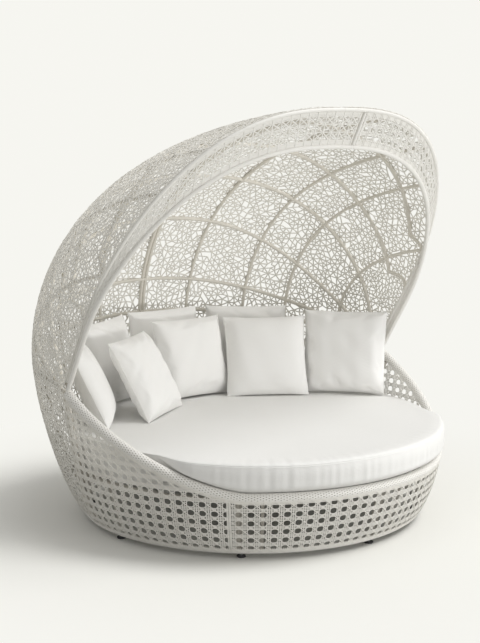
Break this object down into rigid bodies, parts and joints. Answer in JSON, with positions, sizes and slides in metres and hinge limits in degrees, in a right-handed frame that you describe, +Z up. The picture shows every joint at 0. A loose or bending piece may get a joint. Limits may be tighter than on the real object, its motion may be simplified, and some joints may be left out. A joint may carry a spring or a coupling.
{
  "type": "outdoor daybed with canopy",
  "caption": "Round outdoor daybed: bowl-shaped woven base on levelling glides, round mattress, loose pillows and a fixed shell-shaped woven canopy with a visor.",
  "frame": {"origin": "bottom centre of the bounding box, on the floor", "axes": "+Z up, -Y towards the open front that people sit at, +X to the sitter-facing viewer's right"},
  "size_m": [2.0018, 1.9488, 1.9712],
  "materials": {
    "frame_tube": "powder coated, wrapped in flat woven strand",
    "wicker_wrap": "flat resin strand wound round the tube",
    "wicker_weave": "resin wicker, open weave",
    "slat_metal": "extruded slat, satin",
    "bolt_steel": "plated",
    "glide_steel": "bright stem",
    "glide_pad": "moulded pad",
    "mattress_fabric": "woven outdoor cloth",
    "pillow_fabric": "woven outdoor cloth"
  },
  "bodies": {
    "frame": {"base_frame": "frame_tube", "base_rim": "wicker_wrap", "base_weave_left": "wicker_weave", "base_weave_right": "wicker_weave", "deck_slat_1": "slat_metal", "deck_slat_2": "slat_metal", "deck_slat_3": "slat_metal", "deck_slat_4": "slat_metal", "deck_slat_5": "slat_metal", "deck_slat_6": "slat_metal", "deck_slat_7": "slat_metal", "deck_slat_8": "slat_metal", "deck_slat_9": "slat_metal", "hood_frame_left": "frame_tube", "hood_frame_right": "frame_tube", "hood_weave_left": "wicker_weave", "hood_weave_right": "wicker_weave", "back_weave_left": "wicker_weave", "back_weave_right": "wicker_weave", "visor_lip_left": "wicker_wrap", "visor_lip_right": "wicker_wrap", "visor_weave_left": "wicker_weave", "visor_weave_right": "wicker_weave", "visor_joint": "wicker_wrap", "seam_bolt_left_1": "bolt_steel", "seam_bolt_left_2": "bolt_steel", "seam_bolt_left_3": "bolt_steel", "seam_bolt_right_1": "bolt_steel", "seam_bolt_right_2": "bolt_steel", "seam_bolt_right_3": "bolt_steel"},
    "glide_1": {"glide_stem_1": "glide_steel", "glide_pad_1": "glide_pad"},
    "glide_2": {"glide_stem_2": "glide_steel", "glide_pad_2": "glide_pad"},
    "glide_3": {"glide_stem_3": "glide_steel", "glide_pad_3": "glide_pad"},
    "glide_4": {"glide_stem_4": "glide_steel", "glide_pad_4": "glide_pad"},
    "glide_5": {"glide_stem_5": "glide_steel", "glide_pad_5": "glide_pad"},
    "glide_6": {"glide_stem_6": "glide_steel", "glide_pad_6": "glide_pad"},
    "glide_7": {"glide_stem_7": "glide_steel", "glide_pad_7": "glide_pad"},
    "glide_8": {"glide_stem_8": "glide_steel", "glide_pad_8": "glide_pad"},
    "mattress": {"mattress": "mattress_fabric"},
    "pillow_left_wall": {"pillow_left_wall": "pillow_fabric"},
    "pillow_left_back": {"pillow_left_back": "pillow_fabric"},
    "pillow_left_front": {"pillow_left_front": "pillow_fabric"},
    "pillow_middle_front": {"pillow_middle_front": "pillow_fabric"},
    "pillow_middle_back": {"pillow_middle_back": "pillow_fabric"},
    "pillow_right_back": {"pillow_right_back": "pillow_fabric"},
    "pillow_right_front": {"pillow_right_front": "pillow_fabric"},
    "pillow_right_wall": {"pillow_right_wall": "pillow_fabric"}
  },
  "joints": [
    {"name": "glide_1_screw", "type": "slide", "parent": "frame", "child": "glide_1", "axis": [0, 0, -1], "range_m": [0, 0.015]},
    {"name": "glide_2_screw", "type": "slide", "parent": "frame", "child": "glide_2", "axis": [0, 0, -1], "range_m": [0, 0.015]},
    {"name": "glide_3_screw", "type": "slide", "parent": "frame", "child": "glide_3", "axis": [0, 0, -1], "range_m": [0, 0.015]},
    {"name": "glide_4_screw", "type": "slide", "parent": "frame", "child": "glide_4", "axis": [0, 0, -1], "range_m": [0, 0.015]},
    {"name": "glide_5_screw", "type": "slide", "parent": "frame", "child": "glide_5", "axis": [0, 0, -1], "range_m": [0, 0.015]},
    {"name": "glide_6_screw", "type": "slide", "parent": "frame", "child": "glide_6", "axis": [0, 0, -1], "range_m": [0, 0.015]},
    {"name": "glide_7_screw", "type": "slide", "parent": "frame", "child": "glide_7", "axis": [0, 0, -1], "range_m": [0, 0.015]},
    {"name": "glide_8_screw", "type": "slide", "parent": "frame", "child": "glide_8", "axis": [0, 0, -1], "range_m": [0, 0.015]},
    {"name": "mattress_lift", "type": "slide", "parent": "frame", "child": "mattress", "axis": [0, 0, 1], "range_m": [0, 0.07]},
    {"name": "pillow_left_wall_lift", "type": "slide", "parent": "mattress", "child": "pillow_left_wall", "axis": [-0.3372, 0.2274, 0.9135], "range_m": [0, 0.1]},
    {"name": "pillow_left_back_lift", "type": "slide", "parent": "mattress", "child": "pillow_left_back", "axis": [-0.0653, 0.1229, 0.9903], "range_m": [0, 0.1]},
    {"name": "pillow_left_front_lift", "type": "slide", "parent": "mattress", "child": "pillow_left_front", "axis": [-0.264, 0.4066, 0.8746], "range_m": [0, 0.1]},
    {"name": "pillow_middle_front_lift", "type": "slide", "parent": "mattress", "child": "pillow_middle_front", "axis": [0.0054, 0.309, 0.9511], "range_m": [0, 0.1]},
    {"name": "pillow_middle_back_lift", "type": "slide", "parent": "mattress", "child": "pillow_middle_back", "axis": [0, 0.1219, 0.9925], "range_m": [0, 0.1]},
    {"name": "pillow_right_back_lift", "type": "slide", "parent": "mattress", "child": "pillow_right_back", "axis": [0.1069, 0.1368, 0.9848], "range_m": [0, 0.1]},
    {"name": "pillow_right_front_lift", "type": "slide", "parent": "mattress", "child": "pillow_right_front", "axis": [0.2034, 0.3522, 0.9135], "range_m": [0, 0.1]},
    {"name": "pillow_right_wall_lift", "type": "slide", "parent": "mattress", "child": "pillow_right_wall", "axis": [0.1953, 0.1698, 0.9659], "range_m": [0, 0.1]}
  ]
}
